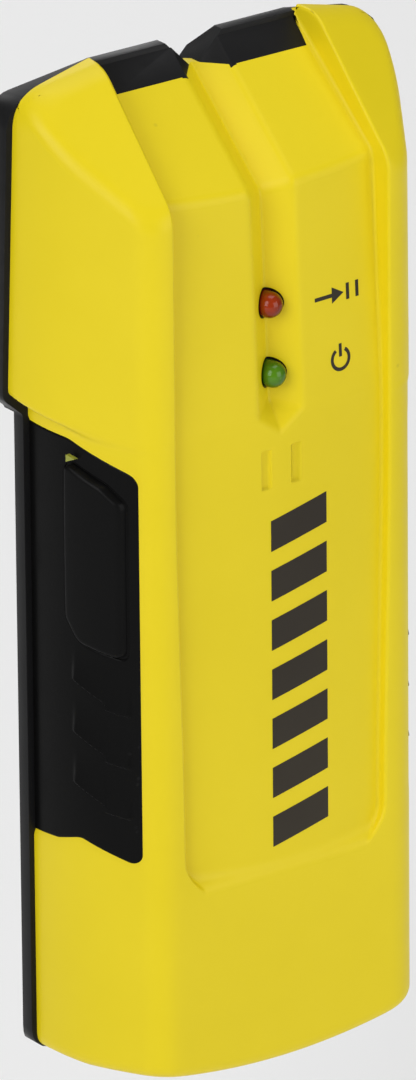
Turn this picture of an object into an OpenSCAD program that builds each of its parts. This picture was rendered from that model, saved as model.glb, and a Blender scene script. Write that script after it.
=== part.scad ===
// Hand held stud finder: two part case, side grips, push button, sliding battery door
// and the electronics inside. X to the right, Y towards the wall, Z up. The origin is
// the middle of the face that slides on the wall.

/* [Case] */
// Height of the top shoulders over the origin
top_z = 77.5; // [76.8:0.1:79]
// Depth of the lowest point under the origin
bottom_z = 78; // [77.5:0.1:80]
// Width of the head at its widest
head_w = 69.6; // [69:0.1:72]
// Width of the handle
body_w = 62.4; // [62:0.1:64]
// Width of the flat front
face_w = 46; // [44:0.5:47]
// Depth of the front cover, from the seam to the flat front
cover_d = 21.3; // [21:0.1:23]
// Depth of the rear cover, from the sliding face to the seam
back_d = 5; // [5:0.1:6]
// Wall of the front cover
wall = 2.4; // [2.2:0.1:2.6]

/* [Front channel] */
// Half width of the channel at the crease
channel_w = 19.2; // [18.8:0.1:19.6]
// Depth of the channel over the handle
channel_d = 1; // [0.8:0.05:1.5]
// Depth of the lamp groove, square to its floor
groove_d = 3.2; // [2.8:0.1:3.4]
// Half width of the lamp groove
groove_w = 4.1; // [3.8:0.1:4.4]

/* [Button] */
// Travel of the power button
button_travel = 0.8; // [0.4:0.1:1]
// Gap around the button
button_gap = 0.3; // [0.2:0.05:0.4]
// Height of the button over the side of the case
button_proud = 0.6; // [0.2:0.1:0.8]

/* [Battery bay] */
// Half width of the battery door
door_w = 16; // [15:0.5:16.5]
// Height of the top edge of the door
door_top = -15; // [-16:0.5:-14]
// Gap between the door and its rails
door_gap = 0.3; // [0.2:0.05:0.35]
// Battery width
battery_w = 26.5; // [26:0.1:26.6]
// Battery thickness
battery_t = 17.5; // [16.5:0.1:17.5]
// Battery height without its studs
battery_h = 46.4; // [45:0.1:46.6]

/* [Lamps] */
// Diameter of a lamp
lamp_dia = 4; // [3:0.1:4.4]
// Height of the red lamp
red_z = 40.5; // [38:0.5:43]
// Height of the green lamp
green_z = 29.9; // [28:0.1:32]

/* [Hidden] */

$fn = 48;
far = 60;
arc_steps = 4;

// Case outline
side_z = bottom_z - 2.6;      // bottom corners
crease_z = 59.4;              // roof meets the flat front
lip_d = 4.2;                  // flat top of the shoulders
notch_z = 75.8;               // rear edge of the roof in the channel
notch_w = 17.7;               // half width of the roof there
roof_d = cover_d - 2.6;       // depth of the channel floor at the crease
floor_z = 59;                 // height of the same crease
roof_a = atan2(notch_z - floor_z, roof_d);
groove_z = 24;                // the channel floor levels out below the lamp groove
ramp_z = [-49, -43.5];        // ramp at the lower end of the channel
floor_a = atan2(cover_d - channel_d - roof_d, floor_z - groove_z);
tongue_d = 3.9;               // black end of the roof
tongue_z = 65.6;
rim = 0.7;                    // rear cover stands out round the seam
floor_t = 2;
back_y = -0.4;                // rear plane; the glide pads stand out to zero

// Grips and button
grip_in = 0.15;
grip_t = 1.15;
grip_front = 18.8;
slope_rear = 8.5;             // depth where the side starts to lean in
flange_t = 1;
switch_z = 4;
stem_r = 1.6;
plunger_x = [-22.5, -19.2];
switch_y = -back_d - 10;

// Board
board_y = [-4.8, -3.6];
board_screw = [[-18, 54], [18, 54], [-19, -9], [19, -9]];
case_screw = [[-27, 50], [27, 50], [-23.7, -66], [23.7, -66]];
pilot_r = 1.22;
shank_r = 1.2;
led_r = lamp_dia / 2;
led_gap = 0.2;
holder_top = -15;
red_tip = 20;
green_tip = 20.7;

// Battery
cell_y = [-3.3 - battery_t, -3.3];
cell_z = [-72, -72 + battery_h];
cell_mid = (cell_y[0] + cell_y[1]) / 2;
stud_x = 6.35;
rail_w = 1.4;
rail_y = [-2.3, -1.6];
lead_r = 0.7;

// Unit vector
function unit(v) = v / norm(v);
// Vector turned by an angle
function turned(v, a) = [v[0] * cos(a) - v[1] * sin(a), v[0] * sin(a) + v[1] * cos(a)];
// Corner list [x, y, radius] with the direction of the edge before and after each corner
function before(c, i) = let (n = len(c), p = c[(i + n - 1) % n], q = c[i])
    unit([q[0] - p[0], q[1] - p[1]]);
function after(c, i) = before(c, (i + 1) % len(c));
// Closed outline moved outwards by g; corners run counter-clockwise
function grown(c, g) = [for (i = [0:len(c) - 1])
    let (a = before(c, i), b = after(c, i), na = [a[1], -a[0]], nb = [b[1], -b[0]],
        m = (na + nb) / (1 + na * nb), s = sign(cross(a, b)))
    [c[i][0] + g * m[0], c[i][1] + g * m[1], c[i][2] > 0 ? max(c[i][2] + g * s, 0.3) : 0]];
// Outline with its corners rounded
function rounded(c) = [for (i = [0:len(c) - 1])
    let (a = before(c, i), b = after(c, i), r = c[i][2], turn = atan2(cross(a, b), a * b),
        s = sign(turn), t = r * tan(abs(turn) / 2), q = [c[i][0], c[i][1]],
        o = q - a * t + s * r * [-a[1], a[0]])
    each (r > 0 ? [for (j = [0:arc_steps]) o + turned(-s * r * [-a[1], a[0]], turn * j / arc_steps)]
        : [q])];
// Bottom edge, a shallow arc over the half width w
function bottom_arc(w, n) = [for (i = [1:n - 1])
    let (x = w * (2 * i / n - 1)) [x, -bottom_z + 2.6 * x * x / w / w, 0]];

// Outline of the rear cover, X and Z
rear_outline = concat([[-body_w / 2, -side_z, 3.5]], bottom_arc(body_w / 2, 8),
    [[body_w / 2, -side_z, 3.5], [body_w / 2, 25.2, 1.2], [head_w / 2, 28.4, 2.2],
    [33.3, 73, 4.5], [notch_w, 76.6, 0], [-notch_w, 76.6, 0], [-33.3, 73, 4.5],
    [-head_w / 2, 28.4, 2.2], [-body_w / 2, 25.2, 1.2]]);
// Outline of the front cover, X and Z
front_outline = concat([[-body_w / 2 + rim, -side_z + rim, 3.2]], bottom_arc(body_w / 2 - rim, 8),
    [[body_w / 2 - rim, -side_z + rim, 3.2], [body_w / 2 - rim, 22, 0], [head_w / 2 - rim, 22, 0],
    [head_w / 2 - rim, 30, 0], [32.6, 74.1, 4.5], [18.5, top_z, 0], [-18.5, top_z, 0],
    [-32.6, 74.1, 4.5], [-head_w / 2 + rim, 30, 0], [-head_w / 2 + rim, 22, 0],
    [-body_w / 2 + rim, 22, 0]]);
// Cross sections, X and depth over the seam
head_section = [[-head_w / 2 + rim, -far, 0], [head_w / 2 - rim, -far, 0],
    [head_w / 2 - rim, 4.5, 2.5], [face_w / 2, cover_d, 2.5], [-face_w / 2, cover_d, 2.5],
    [-head_w / 2 + rim, 4.5, 2.5]];
body_section = [[-body_w / 2 + rim, -far, 0], [body_w / 2 - rim, -far, 0],
    [body_w / 2 - rim, slope_rear, 3], [face_w / 2, cover_d, 2.5], [-face_w / 2, cover_d, 2.5],
    [-body_w / 2 + rim, slope_rear, 3]];
// Side profile, depth and Z
side_profile = [[-far, -far - bottom_z, 0], [cover_d - 1, -far - bottom_z, 0],
    [cover_d - 1, -bottom_z, 0], [cover_d, -bottom_z + 2.2, 0], [cover_d, crease_z, 3],
    [lip_d, top_z, 1], [-far, top_z, 0]];
// Grip outline, depth and Z
grip_outline = [[0.2, -40.2, 0], [grip_front, -41.8, 1.4], [grip_front, 19.4, 2.2],
    [8.5, 23.7, 6], [0.2, 24.2, 0]];
// Button outline, depth and Z
button_outline = [[8.1, -4, 1.5], [10.2, -7.6, 2], [16.6, -9.2, 0.8], [16.6, 15, 1.5],
    [14, 17.4, 1.5], [8.1, 20.2, 0.8]];

// Solid along Y over an X-Z outline, between two depths forward of the seam
module along_y(d0, d1) translate([0, -back_d - d0, 0]) rotate([90, 0, 0])
    linear_extrude(d1 - d0) children();
// Solid along X over a depth-Z outline
module along_x(x0, x1) translate([x1, -back_d, 0]) rotate([90, 0, -90])
    linear_extrude(x1 - x0) children();
// Solid along Z over an X-depth outline
module along_z(z0, z1) translate([0, -back_d, z0]) mirror([0, 1, 0])
    linear_extrude(z1 - z0) children();
// Box between two corners given as ranges
module block(x, y, z) translate([x[0], y[0], z[0]]) cube([x[1] - x[0], y[1] - y[0], z[1] - z[0]]);
// Round bar along Y
module bar_y(x, z, r, y) translate([x, y[1], z]) rotate([90, 0, 0]) cylinder(r = r, h = y[1] - y[0]);
// Round bar along X
module bar_x(y, z, r, x) translate([x[0], y, z]) rotate([0, 90, 0]) cylinder(r = r, h = x[1] - x[0]);
// Box along Y with rounded corners, centred on X and Z
module soft_block(x, z, w, h, r, y) translate([x, y[1], z]) rotate([90, 0, 0])
    linear_extrude(y[1] - y[0]) polygon(rounded([[-w / 2, -h / 2, r], [w / 2, -h / 2, r],
        [w / 2, h / 2, r], [-w / 2, h / 2, r]]));

// Outer body of the front cover, drawn in by g on every side
module front_body(g) intersection() {
    along_y(0, far) polygon(rounded(grown(front_outline, -g)));
    along_x(-far, far) polygon(rounded(grown(side_profile, -g)));
    union() {
        along_z(-far - bottom_z, far + top_z) polygon(rounded(grown(body_section, -g)));
        intersection() {
            along_z(22, far + top_z) polygon(rounded(grown(head_section, -g)));
            along_x(-far, far) polygon([[-1, 28.4 + g], [cover_d, 22.2 + g], [far, far + top_z],
                [-1, far + top_z]]);
        }
    }
}

// Wedge that cuts the marking notch and the lamp groove
module groove() {
    v = [[0, -groove_d], [groove_w * 2, groove_d], [-groove_w * 2, groove_d]];
    // through the rear cover and down the roof
    translate([0, -back_d + far, notch_z]) rotate([90, 0, 0]) linear_extrude(far)
        polygon([[0, -4.3], [8.6, 4.3], [-8.6, 4.3]]);
    translate([0, -back_d, notch_z]) rotate([90 + roof_a, 0, 0]) translate([0, 0, -2])
        linear_extrude(norm([roof_d, notch_z - floor_z]) + 2) polygon(v);
    // down the channel floor to a pointed end
    intersection() {
        translate([0, -back_d - roof_d, floor_z]) rotate([180 - floor_a, 0, 0])
            translate([0, 0, -1.6]) linear_extrude(40) polygon(v);
        along_y(0, far) polygon([[-groove_w - 1, 64], [-groove_w - 1, 25], [0, 20.5],
            [groove_w + 1, 25], [groove_w + 1, 64]]);
    }
}

// Channel down the front, over the roof and the flat front
module channel() intersection() {
    along_x(-far, far) polygon([[-2, notch_z + 2 * tan(roof_a)], [roof_d, floor_z],
        [cover_d - channel_d, groove_z], [cover_d - channel_d, ramp_z[1]],
        [cover_d + 1, ramp_z[0]], [cover_d + far, ramp_z[0]], [cover_d + far, far + top_z],
        [-2, far + top_z]]);
    along_y(-2, far) polygon(rounded([[-channel_w + 1.2, -far, 0], [channel_w - 1.2, -far, 0],
        [channel_w, crease_z, 0], [notch_w + 0.2, notch_z + 1, 0], [notch_w + 0.2, far + top_z, 0],
        [-notch_w - 0.2, far + top_z, 0], [-notch_w - 0.2, notch_z + 1, 0],
        [-channel_w, crease_z, 0]]));
}

// Post of the front cover, from depth d0 to d1
module post(p, r, d0, d1) bar_y(p[0], p[1], r, [-back_d - d1, -back_d - d0]);

module front_cover() color("gold") difference() {
    union() {
        difference() {
            front_body(0);
            intersection() {
                translate([0, 1, 0]) front_body(wall);
                along_x(-far, far) polygon([[-2, -bottom_z], [cover_d - 3.3, -bottom_z],
                    [cover_d - 3.3, 15], [cover_d - 7.6, 22], [cover_d - 7.6, 53.6],
                    [-2, 64.4]]);
            }
        }
        for (p = case_screw) post(p, 2.8, 0, 9.5);
        for (p = board_screw) post(p, 2.2, -0.2, p[1] > 0 ? 14 : 19);
        // bay wall over the battery and guide ribs beside it
        block([-15.5, 15.5], [-back_d - 19, -back_d - 6], [-16.5, -15]);
        for (s = [-1, 1]) block([s * 14.4 - 0.6, s * 14.4 + 0.6], [-back_d - 19, -back_d - 9],
            [-70, -28]);
    }
    channel();
    groove();
    // seat of the rear cover's tongue
    block([-notch_w - 0.2, notch_w + 0.2], [-back_d - tongue_d - 0.1, 0],
        [tongue_z - 0.2, far + top_z]);
    // seats of the grips
    difference() {
        along_x(-far, far) polygon(rounded(grown(grip_outline, 0.1)));
        along_z(-50, 30) polygon(rounded(grown(body_section, -grip_in - grip_t - 0.05)));
    }
    // button opening
    along_x(-far, -16) polygon(rounded(grown(button_outline, button_gap)));
    // room for the button's flange
    intersection() {
        along_x(-28, -14) polygon(rounded(grown(button_outline, 1.5)));
        along_z(-20, 30) polygon(rounded(grown(body_section, -wall)));
    }
    // lamp holes
    for (z = [red_z, green_z]) post([0, z], led_r + led_gap, 4, far);
    // shallow pockets in the channel floor
    for (s = [-1, 1]) soft_block(s * 2.7, 16.2, 1.4, 5.8, 0.6, [-back_d - far, -back_d - cover_d
        + 1.9]);
    for (p = case_screw) post(p, pilot_r, -1, 8);
    for (p = board_screw) post(p, 0.82, -1, 7);
}

// Outer body of the rear cover
module rear_body(g) intersection() {
    along_y(-back_d, 0) polygon(rounded(grown(rear_outline, -g)));
    along_x(-far, far) polygon([[g, -far - bottom_z], [g, far + top_z], [-2, far + top_z],
        [-2, top_z - 1 - g], [-back_d - back_y + g * 0.8, top_z - 4 - g],
        [-back_d - back_y + g * 0.8, -bottom_z + 2.2 + g], [-2.6, -bottom_z - 0.3 + g],
        [-2.6, -far - bottom_z]]);
    union() {
        along_z(-far - bottom_z, 28) polygon([[-body_w / 2 - 1, 1], [-body_w / 2 - 1, -1.4],
            [-body_w / 2 + 3, -back_d], [body_w / 2 - 3, -back_d], [body_w / 2 + 1, -1.4],
            [body_w / 2 + 1, 1]]);
        along_z(25, far + top_z) polygon([[-head_w / 2 - 1, 1], [-head_w / 2 - 1, -1.4],
            [-head_w / 2 + 3, -back_d], [head_w / 2 - 3, -back_d], [head_w / 2 + 1, -1.4],
            [head_w / 2 + 1, 1]]);
    }
}

// Part of the back that belongs to the battery door, grown by g
module door_zone(g) {
    block([-door_w - g, door_w + g], [-back_d + 0.3 - g, far], [-far - bottom_z, door_top + g]);
    block([-door_w - rail_w - g, door_w + rail_w + g], [rail_y[0] - g, rail_y[1] + g],
        [-far - bottom_z, door_top - 4 + g]);
}

module rear_cover() color("#1b1b1d") difference() {
    union() {
        difference() {
            rear_body(0);
            // hollow inside
            intersection() {
                along_y(-back_d + floor_t - back_y, 1) polygon(rounded(grown(rear_outline, -2.6)));
                block([-far, far], [-far, far], [-far - bottom_z, 64.4]);
            }
        }
        for (p = case_screw) bar_y(p[0], p[1], 3.6, [-back_d, -1]);
        // rails of the battery door
        for (s = [-1, 1]) block([s * 17.85 - 1.6, s * 17.85 + 1.6], [-3.9, -1.2], [-76, -18]);
        // tongue under the roof, between the shoulders
        intersection() {
            along_x(-notch_w, notch_w) polygon([[-1, tongue_z], [tongue_d, tongue_z],
                [tongue_d, notch_z - tongue_d * tan(roof_a)], [0, notch_z], [-1, notch_z]]);
            block([-notch_w, notch_w], [-far, far], [0, top_z]);
        }
    }
    groove();
    door_zone(door_gap);
    for (p = case_screw) {
        bar_y(p[0], p[1], 1.5, [-far, far]);
        bar_y(p[0], p[1], 2.9, [-2.6, far]);
    }
    glide_strips(0.05);
    soft_block(0, 31, 38.2, 30.2, 2, [back_y - 0.25, far]);
}

// Shallow steps pressed into a grip, for the left side
module grip_rib(z) intersection() {
    along_x(-far, -20) polygon([[8.8, z], [13.8, z - 2.6], [13.9, z - 3.8], [17, z - 4.2],
        [17, z - 5.6], [13.2, z - 5.2], [12.8, z - 3.9], [8.8, z - 1.6]]);
    along_z(-45, 30) polygon(rounded(grown(body_section, grip_in + 0.2)));
}

// Left grip skin, before the button opening
module grip_skin() intersection() {
    along_x(-far, -20) polygon(rounded(grip_outline));
    along_z(-45, 30) difference() {
        polygon(rounded(grown(body_section, -grip_in)));
        polygon(rounded(grown(body_section, -grip_in - grip_t)));
    }
}

module grip_left() color("#161617") difference() {
    union() {
        grip_skin();
        difference() {
            for (z = [-14.2, -22.4, -30.4]) grip_rib(z);
            along_z(-50, 30) polygon(rounded(grown(body_section, -grip_in - grip_t / 2)));
        }
    }
    along_x(-far, -16) polygon(rounded(grown(button_outline, button_gap)));
    mark_prism(0.05);
}

module grip_right() color("#161617") mirror([1, 0, 0]) union() {
    grip_skin();
    difference() {
        for (z = [-14.2, -22.4, -30.4]) grip_rib(z);
        along_z(-50, 30) polygon(rounded(grown(body_section, -grip_in - grip_t / 2)));
    }
}

module power_button() color("#111112") {
    // pad
    difference() {
        intersection() {
            along_x(-far, -16) polygon(rounded(button_outline));
            along_z(-20, 30) polygon(rounded(grown(body_section, button_proud)));
        }
        along_z(-20, 30) polygon(rounded(grown(body_section, -wall - 0.2 - flange_t)));
    }
    // flange behind the wall
    intersection() {
        along_x(-far, -16) polygon(rounded(grown(button_outline, 1.2)));
        along_z(-20, 30) difference() {
            polygon(rounded(grown(body_section, -wall - 0.2)));
            polygon(rounded(grown(body_section, -wall - 0.2 - flange_t)));
        }
    }
    // stem to the switch
    bar_x(switch_y, switch_z, stem_r, [-28, plunger_x[0] - 0.1]);
}

// Small arrow over the button
module mark_prism(g) intersection() {
    along_x(-far, -20) polygon([[9 - g, 21.6 + g], [10.2 + 2 * g, 21.05],
        [9 - g, 20.5 - g]]);
    difference() {
        along_z(10, 30) polygon(rounded(grown(body_section, 0.1 - grip_in)));
        along_z(10, 30) polygon(rounded(grown(body_section, -grip_in - 0.5 - g)));
    }
}

module button_mark() color("yellowgreen") mark_prism(0);

module battery_door() color("#202022") difference() {
    union() {
        intersection() {
            rear_body(0);
            block([-door_w, door_w], [-2.3, 0], [-far - bottom_z, door_top]);
        }
        // bottom end of the case
        intersection() {
            rear_body(0);
            block([-door_w, door_w], [-back_d + 0.3, 0], [-far - bottom_z, -75.6]);
        }
        // rails at both sides
        block([-door_w - rail_w, door_w + rail_w], rail_y, [-74, door_top - 4]);
    }
    // grip grooves for the thumb
    for (i = [0:4]) block([-9, 9], [back_y - 0.5, far], [-32 + i * 2.4, -30.8 + i * 2.4]);
}

// Tongue that hooks behind the rear cover
module door_catch() color("#202022") {
    block([-5, 5], [-3.05, -2.3], [door_top - 6, door_top - 0.3]);
    block([-5, 5], [-3.05, -2.65], [door_top - 1, door_top + 2]);
}

module battery_can() color("#4a4d52") translate([0, cell_mid, cell_z[0]]) linear_extrude(battery_h)
    polygon(rounded([[-battery_w / 2, -battery_t / 2, 2], [battery_w / 2, -battery_t / 2, 2],
        [battery_w / 2, battery_t / 2, 2], [-battery_w / 2, battery_t / 2, 2]]));

module battery_studs() color("silver") {
    translate([-stud_x, cell_mid, cell_z[1]]) cylinder(r = 2.85, h = 2.6);
    translate([stud_x, cell_mid, cell_z[1]]) cylinder(r = 3.9, h = 2.6, $fn = 6);
}

module snap_cap() color("#1a1a1a") difference() {
    translate([0, cell_mid, cell_z[1] + 0.4]) linear_extrude(4.4)
        polygon(rounded([[-12.8, -5.6, 3], [12.8, -5.6, 3], [12.8, 5.6, 3], [-12.8, 5.6, 3]]));
    translate([-stud_x, cell_mid, cell_z[1]]) cylinder(r = 3.15, h = 3);
    translate([stud_x, cell_mid, cell_z[1]]) cylinder(r = 4.2, h = 3);
}

// Frame of a lead at point i
function lead_dir(p, i) = unit(p[min(i + 1, len(p) - 1)] - p[max(i - 1, 0)]);
function lead_ring(p, i) = let (t = lead_dir(p, i), u = unit(cross(t, [1, 0.3, 0])), v = cross(t, u))
    [for (k = [0:7]) p[i] + lead_r * (cos(k * 45) * u + sin(k * 45) * v)];
// Round lead along a list of points
module lead(p) {
    n = len(p);
    rings = [for (i = [0:n - 1]) each lead_ring(p, i)];
    polyhedron(rings, concat([[for (k = [7:-1:0]) k]], [[for (k = [0:7]) (n - 1) * 8 + k]],
        [for (i = [0:n - 2], k = [0:7]) [i * 8 + k, i * 8 + (k + 1) % 8, (i + 1) * 8 + (k + 1) % 8,
            (i + 1) * 8 + k]]), convexity = 6);
}
// Route from the snap to the board, on side s
function lead_route(s) = [for (i = [0:10]) let (t = i / 10)
    [s * (6 + 5 * t), cell_mid + 2.1 + 4.3 * pow(t, 1.6), cell_z[1] + 5.05 + 10 * sin(90 * t)]];

module lead_red() color("red") lead(lead_route(-1));
module lead_black() color("#111111") lead(lead_route(1));

module foam_pad() color("#3c3c40") block([-11, 11], [-back_d - cover_d + 3.5, cell_y[0] - 0.15],
    [-62, -34]);

module circuit_board() color("darkgreen") difference() {
    along_y(-back_d - board_y[1], -back_d - board_y[0]) polygon(rounded([[-21.6, -13, 1],
        [21.6, -13, 1], [23, 24, 1], [23, 60, 2], [-23, 60, 2], [-23, 24, 1]]));
    for (p = board_screw) bar_y(p[0], p[1], 1.1, [-far, far]);
}

module sensor_plates() color("#b87333") for (x = [-14.4, -4.8, 4.8, 14.4])
    soft_block(x, 31, 7.6, 38, 0.8, [board_y[1], board_y[1] + 0.15]);

module controller_chip() color("#151515") block([-13, -4], [board_y[0] - 1.6, board_y[0]], [2, 11]);

module resistors() color("#2b2b2b") for (i = [0:4], s = [0, 1])
    block([6 + i * 2.6, 7.3 + i * 2.6], [board_y[0] - 0.6, board_y[0]],
        [14 + s * 3.4, 16.2 + s * 3.4]);

module capacitors() color("#23304e") for (x = [-18.4, -10.8])
    bar_y(x, 18.6, 2.5, [board_y[0] - 7, board_y[0]]);

module crystal() color("silver") soft_block(-13.9, -6.5, 4, 9, 1.9, [board_y[0] - 3.5, board_y[0]]);

module buzzer() color("#0d0d0d") difference() {
    bar_y(12, 2, 6, [board_y[0] - 6, board_y[0]]);
    bar_y(12, 2, 1, [board_y[0] - 7, board_y[0] - 5]);
}

module lamp_holder() color("#e8e6dc") difference() {
    soft_block(0, (red_z + green_z) / 2, 7.4, 19, 1.5, [holder_top, board_y[0]]);
    for (z = [red_z, green_z], s = [-1, 1]) bar_y(0, z + s * 1.27, 0.5, [-far, far]);
}

// One lamp with its collar, standing on the holder
module lamp(z, tip) {
    bar_y(0, z, led_r, [-back_d - tip + led_r, holder_top]);
    bar_y(0, z, led_r + 0.35, [holder_top - 1, holder_top]);
    translate([0, -back_d - tip + led_r, z]) rotate([90, 0, 0]) rotate_extrude()
        intersection() {
            circle(r = led_r);
            square(led_r);
        }
}

module lamp_red() color("darkred") lamp(red_z, red_tip);
module lamp_green() color("darkgreen") lamp(green_z, green_tip);

module lamp_legs() color("silver") for (z = [red_z, green_z], s = [-1, 1])
    bar_y(0, z + s * 1.27, 0.35, [holder_top, board_y[0]]);

module switch_housing() color("#17171a") difference() {
    block([-21.4, -14.4], [-back_d - 14, board_y[0]], [switch_z - 4, switch_z + 4]);
    bar_x(switch_y, switch_z, 2.1, [-21.5, plunger_x[1] + button_travel + 0.4]);
}

module switch_plunger() color("ivory") bar_x(switch_y, switch_z, 1.75, plunger_x);

// Screw with a drilled cross, head at the wall side
module screw(p, head_y, head_r, head_h, r, length) difference() {
    union() {
        bar_y(p[0], p[1], head_r, [head_y - head_h, head_y]);
        bar_y(p[0], p[1], r, [head_y - head_h - length, head_y - head_h]);
    }
    for (a = [0, 90]) translate([p[0], head_y, p[1]]) rotate([0, a, 0])
        cube([head_r * 1.2, head_h, 0.5], center = true);
}

module board_screws() color("silver") for (p = board_screw)
    screw(p, board_y[1] + 1.1, 1.9, 1.1, 0.8, 6.5);

module case_screws() color("#303033") for (p = case_screw) screw(p, -1, 2.5, 1.6, shank_r, 9);

// Felt strips on the sliding face
module glide_strips(g) {
    soft_block(0, 0, 40 + 2 * g, 6 + 2 * g, 2, [-1 - g, 0]);
    soft_block(0, 58, 40 + 2 * g, 6 + 2 * g, 2, [-1 - g, 0]);
    for (s = [-1, 1]) soft_block(s * 23.5, -40, 5 + 2 * g, 26 + 2 * g, 2, [-1 - g, 0]);
}
module glide_pads() color("#3a3a3d") glide_strips(0);

module rating_plate() color("silver") soft_block(0, 31, 38, 30, 2, [back_y - 0.25, back_y - 0.05]);

front_cover();
rear_cover();
grip_left();
grip_right();
power_button();
button_mark();
battery_door();
door_catch();
battery_can();
battery_studs();
snap_cap();
lead_red();
lead_black();
foam_pad();
circuit_board();
sensor_plates();
controller_chip();
resistors();
capacitors();
crystal();
buzzer();
lamp_holder();
lamp_red();
lamp_green();
lamp_legs();
switch_housing();
switch_plunger();
board_screws();
case_screws();
glide_pads();
rating_plate();
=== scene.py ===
import math

import bmesh
import bpy
import numpy as np
from mathutils import Matrix, Vector


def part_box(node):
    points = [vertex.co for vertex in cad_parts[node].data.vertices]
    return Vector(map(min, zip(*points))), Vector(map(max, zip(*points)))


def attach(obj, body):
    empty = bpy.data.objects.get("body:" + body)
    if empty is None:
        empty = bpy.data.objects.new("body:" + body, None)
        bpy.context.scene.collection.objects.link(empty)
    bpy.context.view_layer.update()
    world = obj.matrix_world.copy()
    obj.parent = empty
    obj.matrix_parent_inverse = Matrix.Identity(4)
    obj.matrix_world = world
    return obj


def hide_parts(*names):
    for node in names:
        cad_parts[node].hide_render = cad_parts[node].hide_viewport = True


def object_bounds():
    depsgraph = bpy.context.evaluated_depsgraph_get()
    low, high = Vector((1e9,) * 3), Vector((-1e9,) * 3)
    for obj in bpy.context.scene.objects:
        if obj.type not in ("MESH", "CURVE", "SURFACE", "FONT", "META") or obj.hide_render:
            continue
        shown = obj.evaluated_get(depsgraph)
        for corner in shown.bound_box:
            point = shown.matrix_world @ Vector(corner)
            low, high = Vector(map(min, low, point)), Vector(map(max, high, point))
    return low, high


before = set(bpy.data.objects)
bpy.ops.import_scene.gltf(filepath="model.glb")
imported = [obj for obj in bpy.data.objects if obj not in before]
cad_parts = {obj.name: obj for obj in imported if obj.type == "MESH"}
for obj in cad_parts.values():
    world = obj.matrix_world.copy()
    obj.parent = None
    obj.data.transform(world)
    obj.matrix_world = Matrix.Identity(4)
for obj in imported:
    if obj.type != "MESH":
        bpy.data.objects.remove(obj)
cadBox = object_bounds()
mm = 0.001
print("stage: frame loaded,", len(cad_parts), "nodes")


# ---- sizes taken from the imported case, in millimetres

frontLow, frontHigh = [[v / mm for v in corner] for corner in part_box("front_cover")]

case = {
    "topZ": frontHigh[2],
    "bottomZ": frontLow[2] + 0.1,
    "seamY": -5.0,
    "depth": -5.0 - frontLow[1],     # seam to flat front
    "headHalf": frontHigh[0] - 0.15,
    "headHalfTop": 32.4,             # head narrows a little towards its top
    "bodyHalf": 30.3,
    "faceHalf": 23.0,
    "headBend": 4.5,                 # depth where the sides start to lean in
    "bodyBend": 8.5,
    "bottomRise": 2.6,               # the bottom edge is an arc
    "underHead": 28.4,               # height of the step under the head, at the seam
    "underSlope": 0.29,
    "shoulderX": 18.8,
    "lipDepth": 4.2,
    "roofSlope": 1.0355,
    "roofFall": 0.43,                # roof falls towards the sides
    "topFall": 0.241,
    "notchZ": 75.8,                  # rear edge of the channel roof
    "notchSlope": 0.898,
    "edgeRound": 3.2,
    "bendRound": 4.0,
    "wall": 2.1,
}
channel = {
    "halfTop": 18.9, "half": 19.2, "halfLow": 18.1,
    "draft": 0.12,
    "endZ": -47.0,
    "centreDepth": 0.6, "crown": 1.1, "topDepth": 2.5, "rampZ": 24.0,
    "lipRound": 0.55,
}
groove = {"half": 4.05, "depth": 3.2, "tipZ": 21.5, "round": 0.45, "valley": 0.2}
grip = {
    "sink": 0.55, "proud": 0.36,
    "corners": [(-0.8, -40.4, 0.3), (5.2, -40.1, 3.0), (9.5, -38.9, 2.0), (18.8, -42.0, 1.6),
                (18.75, 19.4, 2.2), (8.5, 23.7, 6.0), (-0.8, 24.3, 0.3)],    # depth, height, radius
    "ribTops": (-14.2, -22.4, -30.4), "ribHeight": 0.62, "ribLength": 6.5,
}
button = {
    "corners": [(7.9, -4.0, 2.0), (10.2, -7.6, 2.5), (16.7, -9.2, 0.9), (16.7, 15.0, 1.6),
                (14.0, 17.4, 1.6), (7.9, 20.2, 0.9)],
    "hole": [(7.6, -4.0, 2.2), (10.05, -7.95, 2.7), (17.0, -9.55, 1.1), (17.0, 15.15, 1.8),
             (14.2, 17.65, 1.8), (7.6, 20.6, 1.1)],
    "bed": [(6.6, -4.0, 2.2), (9.6, -9.0, 2.7), (17.9, -10.6, 1.1), (17.9, 16.0, 1.8),
            (14.6, 18.8, 1.8), (6.6, 21.8, 1.1)],
    "proud": 0.75, "crownHeight": 0.25, "bedLift": 0.12,
}


# ---- small helpers

def softMax(a, b, width):
    h = np.clip(0.5 + 0.5 * (a - b) / width, 0.0, 1.0)
    return b * (1 - h) + a * h + width * h * (1 - h)


def softMin(a, b, width):
    return -softMax(-a, -b, width)


def smoothStep(a, b, x):
    t = np.clip((x - a) / (b - a), 0.0, 1.0)
    return t * t * (3 - 2 * t)


def newObject(name, data):
    piece = bpy.data.objects.new(name, data)
    bpy.context.scene.collection.objects.link(piece)
    return piece


def meshPiece(name, points, faces, material, normals=None):
    mesh = bpy.data.meshes.new(name)
    mesh.from_pydata([tuple(p) for p in points], [], faces)
    mesh.update()
    mesh.polygons.foreach_set("use_smooth", [True] * len(mesh.polygons))
    if normals is not None:
        mesh.normals_split_custom_set_from_vertices([tuple(n) for n in normals])
    mesh.materials.append(material)
    return newObject(name, mesh)


def toWorld(x, d, z):
    return np.stack([x * mm, (case["seamY"] - d) * mm, z * mm], axis=-1)


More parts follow.
